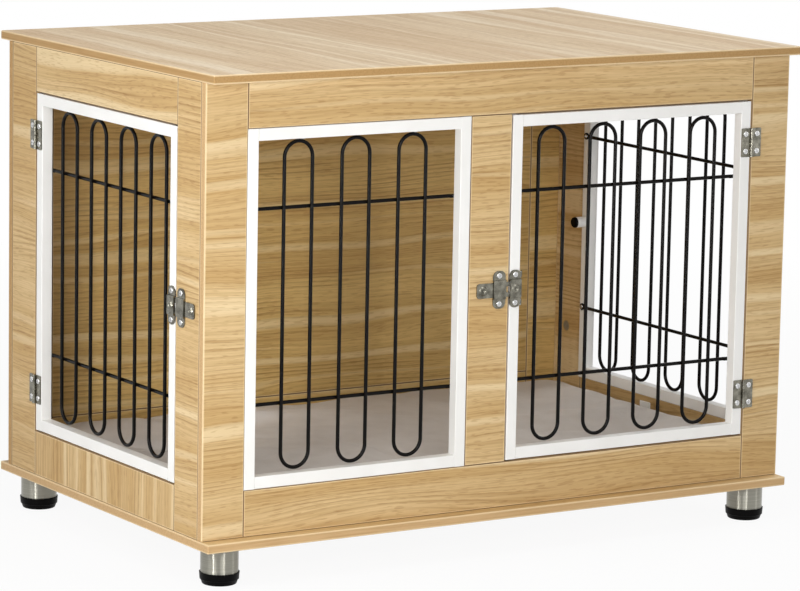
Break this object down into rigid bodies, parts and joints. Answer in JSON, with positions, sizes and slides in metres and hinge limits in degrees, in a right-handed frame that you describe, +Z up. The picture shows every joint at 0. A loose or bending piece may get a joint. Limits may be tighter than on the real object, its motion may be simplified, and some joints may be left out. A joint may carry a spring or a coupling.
{
  "type": "dog crate end table",
  "caption": "Oak-faced dog crate end table with hinged wire doors on the front and left side, slide latches, fixed wire windows, round steel feet and a floor cushion.",
  "frame": {"origin": "on the floor, under the middle of the table top", "axes": "+Z up, -Y towards the front with the wide door, -X towards the side door"},
  "size_m": [0.9334, 0.6, 0.67],
  "materials": {
    "oak_board": "satin oak-look foil on particle board",
    "white_frame": "white powder coat",
    "black_wire": "black powder coat",
    "leg_steel": "brushed",
    "black_plastic": "moulded",
    "screw_steel": "zinc plated",
    "plated_steel": "nickel plated",
    "beech_dowel": "plain",
    "zinc_fitting": "die cast",
    "cushion_fabric": "plain weave over fibre fill"
  },
  "bodies": {
    "root": {"base_board": "oak_board", "cam_bolts": "zinc_fitting", "cam_locks": "zinc_fitting", "case_screws": "screw_steel", "cushion": "cushion_fabric", "dowels": "beech_dowel", "foot_cap_front_left": "black_plastic", "foot_cap_front_right": "black_plastic", "foot_cap_rear_left": "black_plastic", "foot_cap_rear_right": "black_plastic", "front_bottom_rail": "oak_board", "front_centre_stile": "oak_board", "front_latch_bracket": "plated_steel", "front_left_stile": "oak_board", "front_right_stile": "oak_board", "front_top_rail": "oak_board", "front_window_frame": "white_frame", "front_window_grille": "black_wire", "hinge_fixed_leaves": "plated_steel", "hinge_pins": "plated_steel", "left_side_bottom_rail": "oak_board", "left_side_front_stile": "oak_board", "left_side_rear_stile": "oak_board", "left_side_top_rail": "oak_board", "leg_front_left": "leg_steel", "leg_front_right": "leg_steel", "leg_rear_left": "leg_steel", "leg_rear_right": "leg_steel", "leg_screws": "screw_steel", "rear_bottom_rail": "oak_board", "rear_left_stile": "oak_board", "rear_panel": "oak_board", "rear_right_stile": "oak_board", "rear_top_rail": "oak_board", "right_side_bottom_rail": "oak_board", "right_side_front_stile": "oak_board", "right_side_rear_stile": "oak_board", "right_side_top_rail": "oak_board", "side_latch_bracket": "plated_steel", "side_window_frame": "white_frame", "side_window_grille": "black_wire", "top_board": "oak_board", "window_grille_screws": "screw_steel", "window_peg": "white_frame", "window_peg_plug": "black_plastic", "window_screws": "screw_steel"},
    "front_door": {"front_door_frame": "white_frame", "front_door_grille": "black_wire", "front_door_grille_screws": "screw_steel", "front_door_hinge_leaves": "plated_steel", "front_door_screws": "screw_steel", "front_latch_keeper": "plated_steel"},
    "side_door": {"side_door_frame": "white_frame", "side_door_grille": "black_wire", "side_door_grille_screws": "screw_steel", "side_door_hinge_leaves": "plated_steel", "side_door_screws": "screw_steel", "side_latch_keeper": "plated_steel"},
    "front_bolt": {"front_latch_bolt": "plated_steel"},
    "side_bolt": {"side_latch_bolt": "plated_steel"}
  },
  "joints": [
    {"name": "front_door_hinge", "type": "hinge", "parent": "root", "child": "front_door", "pos_m": [0.4005, -0.28005, 0.36], "axis": [0, 0, 1], "range_deg": [0, 175]},
    {"name": "side_door_hinge", "type": "hinge", "parent": "root", "child": "side_door", "pos_m": [-0.46605, 0.1935, 0.36], "axis": [0, 0, -1], "range_deg": [0, 175]},
    {"name": "front_bolt_slide", "type": "slide", "parent": "root", "child": "front_bolt", "axis": [1, 0, 0], "range_m": [-0.003, 0.0085]},
    {"name": "side_bolt_slide", "type": "slide", "parent": "root", "child": "side_bolt", "axis": [0, 1, 0], "range_m": [-0.003, 0.0085]}
  ]
}
